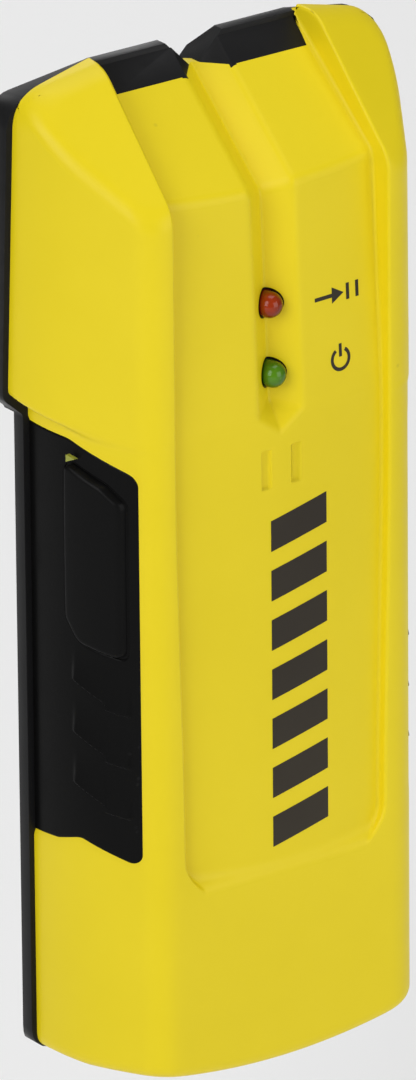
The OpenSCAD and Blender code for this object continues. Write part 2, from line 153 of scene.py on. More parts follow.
def roundedOutline(corners, steps=8):
    # closed outline with an arc at each corner; corners run counter-clockwise
    out = []
    n = len(corners)
    for i in range(n):
        p, q, s = (Vector(corners[(i + k) % n][:2]) for k in (-1, 0, 1))
        r = corners[i][2]
        a = (q - p).normalized()
        b = (s - q).normalized()
        turn = math.atan2(a.x * b.y - a.y * b.x, a.dot(b))
        side = 1 if turn > 0 else -1
        t = r * math.tan(abs(turn) / 2)
        normal = Vector((-a.y, a.x)) * side
        centre = q - a * t + normal * r
        for j in range(steps + 1):
            angle = turn * j / steps
            v = -normal * r
            out.append((centre.x + v.x * math.cos(angle) - v.y * math.sin(angle),
                        centre.y + v.x * math.sin(angle) + v.y * math.cos(angle)))
    return np.array(out)


def outlineDistance(px, py, outline):
    # signed distance to a closed outline, negative inside
    best = np.full(px.shape, 1e9)
    inside = np.zeros(px.shape, bool)
    n = len(outline)
    for i in range(n):
        ax, ay = outline[i]
        bx, by = outline[(i + 1) % n]
        ex, ey = bx - ax, by - ay
        length = ex * ex + ey * ey
        if length < 1e-12:
            continue
        t = np.clip(((px - ax) * ex + (py - ay) * ey) / length, 0, 1)
        best = np.minimum(best, np.hypot(px - ax - t * ex, py - ay - t * ey))
        rise = ey if abs(ey) > 1e-12 else 1e-12
        inside ^= ((ay > py) != (by > py)) & (px < ex * (py - ay) / rise + ax)
    return np.where(inside, -best, best)


gripOutline = roundedOutline(grip["corners"])
buttonOutline, holeOutline, bedOutline = (roundedOutline(button[k]) for k in ("corners", "hole", "bed"))


# ---- shape of the front cover as one rule: negative inside, zero on the surface

def headHalfAt(z):
    c = case
    return c["headHalf"] - (c["headHalf"] - c["headHalfTop"]) * np.clip((z - 29) / 44, 0, 1.2)


def sidePlane(x, d, half, bend):
    # plane from the bend to the edge of the flat front
    dx = half - case["faceHalf"]
    dd = case["depth"] - bend
    n = np.hypot(dx, dd)
    return ((np.abs(x) - half) * dd + (d - bend) * dx) / n


def channelHalfAt(z):
    c = channel
    low = c["half"] + (c["halfLow"] - c["half"]) * smoothStep(20, -45, z)
    corner = 3.2 * np.clip((-41.5 - z) / 5.5, 0, 1) ** 2
    top = (c["half"] - c["halfTop"]) * np.clip((z - 59) / 17, 0, 1)
    return low - top - corner


def floorDrop(z):
    # how far the middle of the channel floor lies under the flat front
    c = channel
    return c["centreDepth"] + (c["topDepth"] - c["centreDepth"]) * np.clip(
        (z - c["rampZ"]) / (59 - c["rampZ"]), 0, 1.6)


def shoulderTop(z):
    # depth of the shoulder beside the channel
    c = case
    return softMin(c["depth"], c["lipDepth"] + (c["topZ"] - z) / c["roofSlope"], 3.0)


def caseShape(x, d, z, sink=0.0):
    c = case
    ax = np.abs(x)
    half = headHalfAt(z)
    flat = d - c["depth"]
    roof = (z + c["roofFall"] * (ax - c["shoulderX"]) + c["roofSlope"] * (d - c["lipDepth"])
            - c["topZ"]) / math.sqrt(1 + c["roofFall"] ** 2 + c["roofSlope"] ** 2)
    top = (z - c["topZ"] + c["topFall"] * (ax - 18.5)) / math.sqrt(1 + c["topFall"] ** 2)
    head = softMax(ax - half, sidePlane(x, d, half, c["headBend"]), c["bendRound"])
    head = softMax(head, top, 4.6)
    head = softMax(head, flat, c["edgeRound"])
    head = softMax(head, roof, 1.6)
    under = (c["underHead"] - c["underSlope"] * d - z) / math.sqrt(1 + c["underSlope"] ** 2)
    head = softMax(head, under, 1.5)
    body = softMax(ax - c["bodyHalf"], sidePlane(x, d, c["bodyHalf"], c["bodyBend"]),
                   c["bendRound"])
    body = body + sink
    body = softMax(body, flat, c["edgeRound"])
    width = np.minimum(c["bodyHalf"], c["faceHalf"] + (c["depth"] - d) * 0.6)
    bottom = c["bottomZ"] + c["bottomRise"] * (ax / width) ** 2 - z
    body = softMax(body, bottom, 2.4)
    body = softMax(body, -under - 2.2, 0.8)       # ends just inside the head
    return np.maximum(softMin(head, body, 0.2 + 1.2 * smoothStep(20.0, 10.0, d)), flat)


def floorBelow(x, d, z, crown=True):
    # distance under the channel floor, roof part and front part
    c = case
    roof = (c["notchZ"] - c["notchSlope"] * d - z) / math.hypot(1, c["notchSlope"])
    drop = floorDrop(z) + (channel["crown"] * (x / 19.0) ** 2 if crown else 0.0)
    return softMin(roof, c["depth"] - drop - d, 0.8)


def frontShape(x, d, z, sink=0.0):
    shape = caseShape(x, d, z, sink)
    ax = np.abs(x)
    wall = ax - (channelHalfAt(z) - channel["draft"] * (shoulderTop(z) - d))
    ramp = (channel["endZ"] + 1.5 * (case["depth"] - d) - z) / 1.8
    hollow = softMax(softMax(floorBelow(x, d, z), wall, 0.6), ramp, 0.6)
    shape = softMax(shape, -hollow, channel["lipRound"])
    g = groove
    below = floorBelow(x, d, z, crown=False)
    wedge = (np.hypot(x, g["valley"]) / g["half"] + below / g["depth"] - 1) / math.hypot(
        1 / g["half"], 1 / g["depth"])
    end = (0.683 * ax + 1.344 * below - (z - g["tipZ"])) / 1.81
    shape = softMax(shape, -softMax(wedge, end, 0.3), g["round"])
    # two shallow pockets in the floor
    pocket = np.maximum(np.abs(ax - 2.7) - 0.7, np.abs(z - 16.2) - 2.9)
    pocket = np.maximum(pocket, (case["depth"] - floorDrop(z) - 0.55) - d)
    return softMax(shape, -pocket, 0.25)


def projectOnto(shape, x, d, z, nx, nd, nz, reach=4.0, inward=9.0, steps=44):
    # first point where a ray from outside meets the surface
    t = np.full(x.shape, reach)
    step = (reach + inward) / steps
    low = np.full(x.shape, -inward)
    high = np.full(x.shape, reach)
    found = np.zeros(x.shape, bool)
    for i in range(steps + 1):
        value = shape(x + nx * t, d + nd * t, z + nz * t)
        hit = (value < 0) & ~found
        low = np.where(hit, t, low)
        high = np.where(hit, t + step, high)
        found |= hit
        t = t - step
    for i in range(18):
        mid = 0.5 * (low + high)
        inside = shape(x + nx * mid, d + nd * mid, z + nz * mid) < 0
        low = np.where(inside, mid, low)
        high = np.where(inside, high, mid)
    t = 0.5 * (low + high)
    return x + nx * t, d + nd * t, z + nz * t


def shapeNormals(shape, x, d, z, h=0.04):
    gx = shape(x + h, d, z) - shape(x - h, d, z)
    gd = shape(x, d + h, z) - shape(x, d - h, z)
    gz = shape(x, d, z + h) - shape(x, d, z - h)
    n = np.stack([gx, -gd, gz], axis=-1)
    return n / np.maximum(np.linalg.norm(n, axis=-1, keepdims=True), 1e-9)


def spread(*spans):
    # values over spans (start, end, step), each value once
    out = []
    for start, end, step in spans:
        n = max(1, round(abs(end - start) / step))
        out += [start + (end - start) * i / n for i in range(n)]
    return np.array(out + [spans[-1][1]])


# ---- materials

def newGroup(name, inputs, outputs):
    tree = bpy.data.node_groups.new(name, "ShaderNodeTree")
    for label, kind, value in inputs:
        socket = tree.interface.new_socket(name=label, in_out="INPUT", socket_type=kind)
        socket.default_value = value
    for label, kind in outputs:
        tree.interface.new_socket(name=label, in_out="OUTPUT", socket_type=kind)
    tree.nodes.new("NodeGroupInput")
    tree.nodes.new("NodeGroupOutput")
    return tree


def groupEnds(tree):
    start = next(n for n in tree.nodes if n.type == "GROUP_INPUT")
    end = next(n for n in tree.nodes if n.type == "GROUP_OUTPUT")
    return start, end


def feed(tree, socket, value):
    # a link when the value is another node's output, otherwise the socket's own value
    if hasattr(value, "links"):
        tree.links.new(value, socket)
    elif isinstance(value, (tuple, list)):
        socket.default_value = (*value[:3], 1.0)
    else:
        socket.default_value = value


def noiseNode(tree, vector, scale, detail=3.0, roughness=0.55):
    node = tree.nodes.new("ShaderNodeTexNoise")
    for label, value in (("Vector", vector), ("Scale", scale), ("Detail", detail),
                         ("Roughness", roughness)):
        feed(tree, node.inputs[label], value)
    return node.outputs["Fac"]


def rangeNode(tree, value, low, high, outLow, outHigh):
    node = tree.nodes.new("ShaderNodeMapRange")
    for label, v in (("Value", value), ("From Min", low), ("From Max", high), ("To Min", outLow),
                     ("To Max", outHigh)):
        feed(tree, node.inputs[label], v)
    return node.outputs["Result"]


def mathNode(tree, operation, a, b):
    node = tree.nodes.new("ShaderNodeMath")
    node.operation = operation
    feed(tree, node.inputs[0], a)
    feed(tree, node.inputs[1], b)
    return node.outputs[0]


def mixColour(tree, factor, a, b):
    node = tree.nodes.new("ShaderNodeMix")
    node.data_type = "RGBA"
    for socket, value in ((0, factor), (6, a), (7, b)):
        feed(tree, node.inputs[socket], value)
    return node.outputs[2]


def mouldedSkin():
    # moulded plastic: fine spark grain, slow colour drift, faint rubbed patches, dust specks
    tree = newGroup("mouldedSkin", [
        ("Base", "NodeSocketColor", (0.8, 0.6, 0.05, 1)), ("Shade", "NodeSocketColor", (0.7, 0.5, 0.03, 1)),
        ("Grain Scale", "NodeSocketFloat", 2600.0), ("Drift Scale", "NodeSocketFloat", 24.0),
        ("Roughness", "NodeSocketFloat", 0.4), ("Roughness Spread", "NodeSocketFloat", 0.06),
        ("Speck Amount", "NodeSocketFloat", 0.0)],
        [("Color", "NodeSocketColor"), ("Roughness", "NodeSocketFloat"), ("Height", "NodeSocketFloat")])
    start, end = groupEnds(tree)
    place = tree.nodes.new("ShaderNodeTexCoord").outputs["Object"]
    drift = noiseNode(tree, place, start.outputs["Drift Scale"], 4.0, 0.6)
    grain = noiseNode(tree, place, start.outputs["Grain Scale"], 2.0, 0.6)
    patch = noiseNode(tree, place, 140.0, 5.0, 0.65)
    colour = mixColour(tree, rangeNode(tree, drift, 0.35, 0.65, 0.0, 1.0), start.outputs["Base"],
                       start.outputs["Shade"])
    cells = tree.nodes.new("ShaderNodeTexVoronoi")
    feed(tree, cells.inputs["Scale"], 85.0)
    feed(tree, cells.inputs["Vector"], place)
    speck = rangeNode(tree, cells.outputs["Distance"], 0.035, 0.015, 0.0, 1.0)
    speck = mathNode(tree, "MULTIPLY", speck, start.outputs["Speck Amount"])
    colour = mixColour(tree, speck, colour, (0.10, 0.08, 0.03))
    rubbed = rangeNode(tree, patch, 0.3, 0.7, -1.0, 1.0)
    rough = mathNode(tree, "MULTIPLY", rubbed, start.outputs["Roughness Spread"])
    rough = mathNode(tree, "ADD", rough, start.outputs["Roughness"])
    tree.links.new(colour, end.inputs["Color"])
    tree.links.new(rough, end.inputs["Roughness"])
    tree.links.new(grain, end.inputs["Height"])
    return tree


def edgeWearAndHighlight():
    # lighter line along sharp edges: rubbed wear on the screws and metal plates, and on the black grips and
    # button a painted highlight along their edges
    tree = newGroup("edgeWearAndHighlight", [("Color", "NodeSocketColor", (0.1, 0.1, 0.1, 1)),
                                 ("Worn And Lit Color", "NodeSocketColor", (0.3, 0.3, 0.3, 1)),
                                 ("Amount", "NodeSocketFloat", 0.3)],
                    [("Color", "NodeSocketColor"), ("Mask", "NodeSocketFloat")])
    start, end = groupEnds(tree)
    edge = tree.nodes.new("ShaderNodeNewGeometry").outputs["Pointiness"]
    place = tree.nodes.new("ShaderNodeTexCoord").outputs["Object"]
    broken = noiseNode(tree, place, 420.0, 3.0, 0.6)
    mask = mathNode(tree, "MULTIPLY", rangeNode(tree, edge, 0.52, 0.60, 0.0, 1.0),
                    rangeNode(tree, broken, 0.4, 0.6, 0.2, 1.0))
    mask = mathNode(tree, "MULTIPLY", mask, start.outputs["Amount"])
    tree.links.new(mixColour(tree, mask, start.outputs["Color"], start.outputs["Worn And Lit Color"]),
                   end.inputs["Color"])
    tree.links.new(mask, end.inputs["Mask"])
    return tree


skinGroup = mouldedSkin()
wearAndHighlightGroup = edgeWearAndHighlight()


def placeGroup(tree, group, values):
    node = tree.nodes.new("ShaderNodeGroup")
    node.node_tree = group
    for label, value in values.items():
        feed(tree, node.inputs[label], value)
    return node


def plasticMaterial(name, base, shade, roughness, grain=2600.0, bump=0.05, spreadRough=0.05,
                    wearAndHighlight=None, wearAndHighlightAmount=0.0, metallic=0.0, coat=0.0, coatRough=0.2, specks=0.0,
                    specular=0.5, sheen=0.0):
    material = bpy.data.materials.new(name)
    material.use_nodes = True
    tree = material.node_tree
    shader = tree.nodes["Principled BSDF"]
    skin = placeGroup(tree, skinGroup, {
        "Base": base, "Shade": shade, "Grain Scale": grain, "Roughness": roughness,
        "Roughness Spread": spreadRough, "Speck Amount": specks})
    colour = skin.outputs["Color"]
    # lighter along sharp edges: rubbed wear, and on the black grips and button a painted highlight
    if wearAndHighlight:
        wornAndLit = placeGroup(tree, wearAndHighlightGroup, {"Color": colour, "Worn And Lit Color": wearAndHighlight, "Amount": wearAndHighlightAmount})
        colour = wornAndLit.outputs["Color"]
    tree.links.new(colour, shader.inputs["Base Color"])
    tree.links.new(skin.outputs["Roughness"], shader.inputs["Roughness"])
    bumpNode = tree.nodes.new("ShaderNodeBump")
    bumpNode.inputs["Strength"].default_value = bump
    bumpNode.inputs["Distance"].default_value = 0.0001
    tree.links.new(skin.outputs["Height"], bumpNode.inputs["Height"])
    tree.links.new(bumpNode.outputs["Normal"], shader.inputs["Normal"])
    shader.inputs["Metallic"].default_value = metallic
    shader.inputs["Coat Weight"].default_value = coat
    shader.inputs["Coat Roughness"].default_value = coatRough
    shader.inputs["Specular IOR Level"].default_value = specular
    shader.inputs["Sheen Weight"].default_value = sheen
    return material


looks = {
    "shellYellow": dict(base=(0.83, 0.655, 0.010), shade=(0.80, 0.63, 0.007), roughness=0.42,
        grain=2400, bump=0.10, coat=0.06, coatRough=0.3, specks=0.12,
        specular=0.22),
    "shellBlack": dict(base=(0.0115, 0.0115, 0.012), shade=(0.0085, 0.0085, 0.009), roughness=0.38,
        bump=0.12, wearAndHighlight=(0.04, 0.04, 0.042), wearAndHighlightAmount=0.2, specular=0.14),
    # gripBlack and buttonBlack: the lighter edge colour is a painted highlight along their edges and rib
    # steps, mixed with rubbed wear
    "gripBlack": dict(base=(0.0038, 0.0038, 0.0038), shade=(0.0028, 0.0028, 0.0028), roughness=0.34,
        grain=1900, bump=0.15, wearAndHighlight=(0.05, 0.05, 0.052), wearAndHighlightAmount=0.12,
        specular=0.07),
    "buttonBlack": dict(base=(0.0038, 0.0038, 0.0038), shade=(0.003, 0.003, 0.003), roughness=0.34,
        grain=2200, bump=0.12, wearAndHighlight=(0.06, 0.06, 0.062), wearAndHighlightAmount=0.3,
        specular=0.08),
    "markInk": dict(base=(0.035, 0.028, 0.018), shade=(0.027, 0.021, 0.014), roughness=0.5,
        grain=3000, bump=0.05, specular=0.2),
    "arrowGreen": dict(base=(0.30, 0.32, 0.04), shade=(0.26, 0.28, 0.035), roughness=0.5),
    "sleevePrint": dict(base=(0.05, 0.055, 0.065), shade=(0.03, 0.033, 0.04), roughness=0.35,
        metallic=0.4),
    "brightPlate": dict(base=(0.75, 0.73, 0.70), shade=(0.62, 0.60, 0.57), roughness=0.25,
        metallic=1.0, wearAndHighlight=(0.9, 0.9, 0.88), wearAndHighlightAmount=0.3),
    "vinylBlack": dict(base=(0.02, 0.02, 0.021), shade=(0.014, 0.014, 0.015), roughness=0.5),
    "leadRed": dict(base=(0.5, 0.015, 0.012), shade=(0.4, 0.01, 0.01), roughness=0.4),
    "leadBlack": dict(base=(0.015, 0.015, 0.015), shade=(0.01, 0.01, 0.01), roughness=0.4),
    "foamGrey": dict(base=(0.06, 0.06, 0.065), shade=(0.02, 0.02, 0.022), roughness=0.95,
        grain=900, bump=1.0, sheen=0.3),
    "boardGreen": dict(base=(0.012, 0.12, 0.035), shade=(0.01, 0.09, 0.03), roughness=0.3,
        grain=600, bump=0.1, coat=0.4),
    "bareCopper": dict(base=(0.72, 0.36, 0.18), shade=(0.6, 0.28, 0.13), roughness=0.35,
        metallic=1.0),
    "epoxyBlack": dict(base=(0.02, 0.02, 0.02), shade=(0.015, 0.015, 0.015), roughness=0.6,
        bump=0.3),
    "sleeveBlue": dict(base=(0.02, 0.04, 0.12), shade=(0.015, 0.03, 0.09), roughness=0.35),
    "naturalNylon": dict(base=(0.72, 0.70, 0.62), shade=(0.66, 0.64, 0.55), roughness=0.45),
    "blackOxide": dict(base=(0.09, 0.09, 0.095), shade=(0.05, 0.05, 0.055), roughness=0.35,
        metallic=1.0, wearAndHighlight=(0.45, 0.44, 0.42), wearAndHighlightAmount=0.6),
    "feltStrip": dict(base=(0.05, 0.05, 0.055), shade=(0.03, 0.03, 0.033), roughness=0.95,
        grain=1200, bump=1.0, sheen=0.5),
    "plateFoil": dict(base=(0.62, 0.62, 0.62), shade=(0.55, 0.55, 0.56), roughness=0.35,
        metallic=0.9, grain=1500, bump=0.1),
}
finish = {name: plasticMaterial(name, **values) for name, values in looks.items()}


def lampMaterial(name, deep, paintedLitColour):
    # tinted clear lens with painted light: a lighter core where the lens faces the camera and a darker rim
    material = bpy.data.materials.new(name)
    material.use_nodes = True
    tree = material.node_tree
    shader = tree.nodes["Principled BSDF"]
    place = tree.nodes.new("ShaderNodeTexCoord").outputs["Object"]
    cloud = noiseNode(tree, place, 300.0, 2.0, 0.5)
    paintedRimShade = tree.nodes.new("ShaderNodeLayerWeight")
    paintedRimShade.inputs["Blend"].default_value = 0.45
    core = mixColour(tree, rangeNode(tree, cloud, 0.3, 0.7, 0.0, 0.35), paintedLitColour, deep)
    # painted light: the colour darkens towards the rim as the lens turns away from the camera
    tree.links.new(mixColour(tree, paintedRimShade.outputs["Facing"], core, deep), shader.inputs["Base Color"])
    tree.links.new(rangeNode(tree, cloud, 0.3, 0.7, 0.06, 0.14), shader.inputs["Roughness"])
    shader.inputs["Coat Weight"].default_value = 0.4
    shader.inputs["Coat Roughness"].default_value = 0.04
    shader.inputs["Specular IOR Level"].default_value = 0.15
    return material


finish["lensRed"] = lampMaterial("lensRed", (0.05, 0.003, 0.001), (0.36, 0.035, 0.004))
finish["lensGreen"] = lampMaterial("lensGreen", (0.006, 0.035, 0.003), (0.10, 0.27, 0.008))
print("stage: materials,", len(bpy.data.materials), "made")


# ---- front cover

def sectionAt(z):
    # corner points of one half of the cover at height z
    c = case
    rise = float(smoothStep(64.0, c["topZ"], z))
    head = float(smoothStep(26.0, 28.5, z))
    half = c["bodyHalf"] + (float(headHalfAt(z)) - c["bodyHalf"]) * head
    bend = c["bodyBend"] + (c["headBend"] - c["bodyBend"]) * head
    slope = (half - c["faceHalf"]) / (c["depth"] - bend)
    roofEnd = c["topZ"] + c["roofFall"] * c["shoulderX"] + c["roofSlope"] * c["lipDepth"]
    edgeX = half
    for step in range(3):
        height = z - rise * c["topFall"] * (edgeX - 18.5)
        edgeD = (roofEnd - height - c["roofFall"] * (c["faceHalf"] + slope * c["depth"])) / (
            c["roofSlope"] - c["roofFall"] * slope)
        if edgeD < bend:
            edgeD = (roofEnd - height - c["roofFall"] * half) / c["roofSlope"]
        edgeD = min(max(edgeD, 0.3), c["depth"])
        edgeX = half if edgeD <= bend else half - slope * (edgeD - bend)
    return half, bend, edgeX, edgeD, rise


coverGrid = {
    "side": np.concatenate([np.linspace(0, 0.86, 30), np.linspace(0.88, 1.0, 9)]),
    "shoulder": np.concatenate([np.linspace(0, 0.3, 6)[1:], np.linspace(0.42, 0.88, 4),
                                np.linspace(0.93, 1.0, 3)]),
    "wall": np.linspace(0, 1, 9)[1:],
    "floorOuter": np.concatenate([np.linspace(0, 0.14, 5)[1:], np.linspace(0.2, 0.94, 14),
                                  np.linspace(0.965, 1.0, 3)]),
    "floorInner": np.concatenate([np.linspace(0, 0.12, 4)[1:], np.linspace(0.22, 1.0, 9)]),
    "rows": spread((-75.3, -73, 0.25), (-73, -48, 0.9), (-48, -38, 0.4), (-38, 12.8, 0.9),
                   (12.8, 29.4, 0.28), (29.4, 56, 0.7), (56, 62, 0.3), (62, 77.5, 0.5)),
    "roofTurn": 60.0, "tongueZ": 72.42,     # the floor columns end at the black tongue
    "wallLean": 0.9, "evenRows": 24, "evenColumns": 9,
}
wallLean = coverGrid["wallLean"]


def floorDepth(z):
    # depth of the channel floor at height z, on the roof or on the front
    c = case
    if z <= channel["endZ"]:
        return c["depth"]
    return max(min(c["depth"] - float(floorDrop(z)), (c["notchZ"] - z) / c["notchSlope"]), 0.0)


def frontRow(z):
    # left half at row height z: x, depth, height and outward direction, seam to middle
    c = case
    half, bend, edgeX, edgeD, rise = sectionAt(z)
    up = float(smoothStep(c["topZ"] - 8.5, c["topZ"] + 0.5, z)) ** 0.8
    down = float(smoothStep(-71.8, -75.3, z))
    lift = up - down
    line = []
    upright = min(bend, edgeD)
    lean = math.hypot(half - edgeX, edgeD - upright)
    sideWay = Vector((c["depth"] - bend, half - c["faceHalf"])).normalized()
    total = upright + lean
    for f in coverGrid["side"]:
        along = f * total
        k = max(along - upright, 0) / max(lean, 1e-6)
        x = half + (edgeX - half) * k
        d = min(along, upright) + (edgeD - upright) * k
        way = Vector((1, 0)).lerp(sideWay, float(smoothStep(upright - 2.5, upright + 2.5, along)))
        way = way.lerp(Vector((0.45, 0.9)), float(smoothStep(total - 2.2, total, along))).normalized()
        line.append((x, d, z - rise * c["topFall"] * (x - 18.5), way.x, way.y, lift))
    wallTop = float(shoulderTop(z))
    chan = min(float(channelHalfAt(z)), edgeX - 0.05)
    for f in coverGrid["shoulder"]:
        x = edgeX + (chan - edgeX) * f
        way = Vector((0.45, 0.9)).lerp(Vector((0, 1)), min(1.0, f * 2.5)).normalized()
        line.append((x, edgeD + (wallTop - edgeD) * f,
                     z - rise * c["topFall"] * max(x - 18.5, 0), way.x, way.y, lift))
    turn = coverGrid["roofTurn"]
    low = z if z < turn else turn + (z - turn) * (coverGrid["tongueZ"] - turn) / (c["topZ"] - turn)
    floor = floorDepth(z)
    wallWay = Vector((-(wallTop - floor), 0.9)).normalized()
    for f in coverGrid["wall"]:
        way = Vector((0, 1)).lerp(wallWay, float(min(1.0, 3 * f, 3 * (1.05 - f)))).normalized()
        line.append((chan - wallLean * f, wallTop + (floor - wallTop) * f, z, way.x, way.y, lift))
    base = chan - wallLean
    floor = floorDepth(low)
    for f in coverGrid["floorOuter"]:
        line.append((groove["half"] + (base - groove["half"]) * (1 - f), floor, low, 0, 1, -down))
    for f in coverGrid["floorInner"]:
        line.append((groove["half"] * (1 - f), floor, low, 0, 1, -down))
    return line


def capRows(row, lift):
    # rows that close one end: they follow the side's own points back to the seam
    side = len(coverGrid["side"]) - 1
    near = np.clip(1 - (np.arange(len(row)) - side) / 4, 0, 1)
    out = []
    for source in range(side - 1, -1, -1):
        new = row.copy()
        back = row[source, 1] / row[side, 1]
        new[:, 0] *= row[source, 0] / row[side, 0]
        new[:, 1] *= back
        new[:, 3] = near * row[source, 3] + (1 - near) * row[:, 3]
        new[:, 4] = near * row[source, 4] + (1 - near) * row[:, 4] * max(0, 6 * back - 5)
        new[:, 5] = lift
        new[:side] = new[side]
        out.append(new)
    return out


def evenOut(shape, points, rows, columns, rounds=50):
    # spaces the grid evenly in a block of rows and columns, then sets it back on the surface
    for i in range(rounds):
        near = (points[:, :-2, 1:-1] + points[:, 2:, 1:-1] + points[:, 1:-1, :-2]
                + points[:, 1:-1, 2:]) / 4
        block = points.copy()
        block[:, 1:-1, 1:-1] = near
        points[:, rows, columns] = block[:, rows, columns]
        for k in range(2):
            part = points[:, rows, columns]
            way = shapeNormals(shape, *part) * shape(*part)[..., None]
            points[:, rows, columns] = part - np.stack([way[..., 0], -way[..., 1], way[..., 2]])


def coverPoints():
    half = [np.array(frontRow(float(z))) for z in coverGrid["rows"]]
    half = np.array(capRows(half[0], -1)[::-1] + half + capRows(half[-1], 1))
    x, d, z, nx, nd, nz = (np.concatenate([sign * half[:, :, k], half[:, -2::-1, k]], axis=1)
                           for k, sign in ((0, -1), (1, 1), (2, 1), (3, -1), (4, 1), (5, 1)))
    c = case
    width = np.minimum(c["bodyHalf"], c["faceHalf"] + (c["depth"] - d) * 0.6)
    z = z - c["bottomRise"] * np.clip(1 - (x / width) ** 2, 0, 1) * smoothStep(-62.0, -75.3, z)
    way = np.stack([nx, nd, nz], axis=-1)
    way = way / np.linalg.norm(way, axis=-1, keepdims=True)
    sink = grip["sink"] * smoothStep(0.9, -0.9, outlineDistance(d, z, gripOutline))
    sink = np.where(np.abs(x) > 22.0, sink, 0.0)       # only the sides have a grip recess

    def shape(a, b, h):
        return frontShape(a, b, h, sink)

    px, pd, pz = projectOnto(shape, x, d, z, way[..., 0], way[..., 1], way[..., 2])
    cap = len(coverGrid["side"]) - 1
    last = len(x) - cap - 1
    grid = np.stack([px, pd, pz])
    edge = cap + coverGrid["evenColumns"]
    for columns in (slice(1, edge), slice(x.shape[1] - edge, x.shape[1] - 1)):
        evenOut(frontShape, grid, slice(last - coverGrid["evenRows"], last), columns)
    px, pd, pz = grid
    normals = shapeNormals(shape, px, pd, pz)
    # the yellow roof ends in a square edge behind the tongue
    floorFrom = half.shape[1] - len(coverGrid["floorOuter"]) - len(coverGrid["floorInner"])
    floor = slice(floorFrom, x.shape[1] - floorFrom)
    turn = np.linspace(0, 1, cap + 1)[1:, None]
    pd[last + 1:, floor] = pd[last, floor] - 2.0 * turn
    px[last + 1:, floor] = px[last, floor]
    pz[last + 1:, floor] = pz[last, floor]
    normals[last + 1:, floor] = (0, 0, 1)
    return px, pd, pz, normals


def gridFaces(rows, cols, start=0, flip=False):
    faces = []
    for i in range(rows - 1):
        for j in range(cols - 1):
            a = start + i * cols + j
            quad = (a, a + 1, a + cols + 1, a + cols)
            faces.append(quad[::-1] if flip else quad)
    return faces


def buildFront():
    px, pd, pz, normals = coverPoints()
    points = toWorld(px, pd, pz).reshape(-1, 3)
    rows, cols = px.shape
    side = len(coverGrid["side"]) - 1
    faces = [quad for quad in gridFaces(rows, cols)
             if side <= quad[0] // cols < rows - 1 - side or side <= quad[0] % cols < cols - 1 - side]
    # inner skin, a coarser copy moved in by the wall thickness
    pick = (slice(None, None, 3), slice(None, None, 2))
    inside = (toWorld(px, pd, pz) - normals * case["wall"] * mm)[pick]
    inside[..., 1] = np.minimum(inside[..., 1], (case["seamY"] - 0.05) * mm)
    faces += gridFaces(*inside.shape[:2], start=len(points), flip=True)
    return (np.concatenate([points, inside.reshape(-1, 3)]), faces,
            np.concatenate([normals.reshape(-1, 3), -normals[pick].reshape(-1, 3)]))


points, faces, normals = buildFront()
frontCover = meshPiece("frontCover", points, faces, finish["shellYellow"], normals)
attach(frontCover, "case")
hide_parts("front_cover")
print("stage: front cover,", len(faces), "faces")


# ---- carried over CAD pieces with a softened copy

def softCopy(node, name, material, body, width, segments=3, angle=30):
    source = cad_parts[node]
    mesh = source.data.copy()
    mesh.name = name
    bm = bmesh.new()
    bm.from_mesh(mesh)
    bmesh.ops.remove_doubles(bm, verts=bm.verts, dist=1e-6)
    bmesh.ops.dissolve_limit(bm, angle_limit=math.radians(1.0), verts=bm.verts, edges=bm.edges)
    bm.to_mesh(mesh)
    bm.free()
    mesh.materials.clear()
    mesh.materials.append(material)
    piece = newObject(name, mesh)
    bevel = piece.modifiers.new("soften", "BEVEL")
    bevel.width = width * mm
    bevel.segments = segments
    bevel.limit_method = "ANGLE"
    bevel.angle_limit = math.radians(angle)
    bevel.harden_normals = True
    bevel.use_clamp_overlap = True
    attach(piece, body)
    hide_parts(node)
    mesh.polygons.foreach_set("use_smooth", [True] * len(mesh.polygons))
    return piece


softCopy("rear_cover", "rearCover", finish["shellBlack"], "case", 0.35)
softCopy("battery_door", "doorPanel", finish["shellBlack"], "door", 0.2)

cadLooks = {
    "door_catch": "shellBlack", "button_mark": "arrowGreen", "battery_can": "sleevePrint",
    "battery_studs": "brightPlate", "snap_cap": "vinylBlack", "lead_red": "leadRed",
    "lead_black": "leadBlack", "circuit_board": "boardGreen",
    "sensor_plates": "bareCopper", "controller_chip": "epoxyBlack", "resistors": "epoxyBlack",
    "capacitors": "sleeveBlue", "crystal": "brightPlate", "buzzer": "epoxyBlack",
    "lamp_holder": "naturalNylon", "lamp_red": "lensRed", "lamp_green": "lensGreen",
    "lamp_legs": "brightPlate", "switch_housing": "vinylBlack", "switch_plunger": "naturalNylon",
    "glide_pads": "feltStrip",
    "rating_plate": "plateFoil",
}
for node, look in cadLooks.items():
    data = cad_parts[node].data
    data.materials.clear()
    data.materials.append(finish[look])
print("stage: carried over pieces,", len(cadLooks))


# ---- grips and button

def bodyShape(x, d, z):
    c = case
    return softMax(np.abs(x) - c["bodyHalf"], sidePlane(x, d, c["bodyHalf"], c["bodyBend"]),
                   c["bendRound"])


def outlineSpan(outline, d):
    # lowest and highest z of an outline at depth d
    low, high = [], []
    n = len(outline)
    for value in d:
        hits = []
        for i in range(n):
            (ax, ay), (bx, by) = outline[i], outline[(i + 1) % n]
            if (ax - value) * (bx - value) <= 0 and abs(bx - ax) > 1e-9:
                hits.append(ay + (by - ay) * (value - ax) / (bx - ax))
        low.append(min(hits))
        high.append(max(hits))
    return np.array(low), np.array(high)


def ribHeight(d, z):
    # three stepped ribs: each rises slowly downwards and drops back at a stepped line
    height = np.zeros_like(d)
    stepLine = (2.6 * np.clip((d - 8.8) / 5.0, 0, 1) + 1.15 * smoothStep(13.75, 14.05, d)
                + 0.45 * np.clip((d - 14.0) / 3.0, 0, 1))
    window = smoothStep(8.3, 9.2, d) * smoothStep(17.6, 17.0, d)
    for top in grip["ribTops"]:
        above = z - (top - stepLine)
        rise = np.clip(1 - above / grip["ribLength"], 0, 1) * smoothStep(0.0, 0.55, above)
        height = height + grip["ribHeight"] * rise * rise * window
    return height


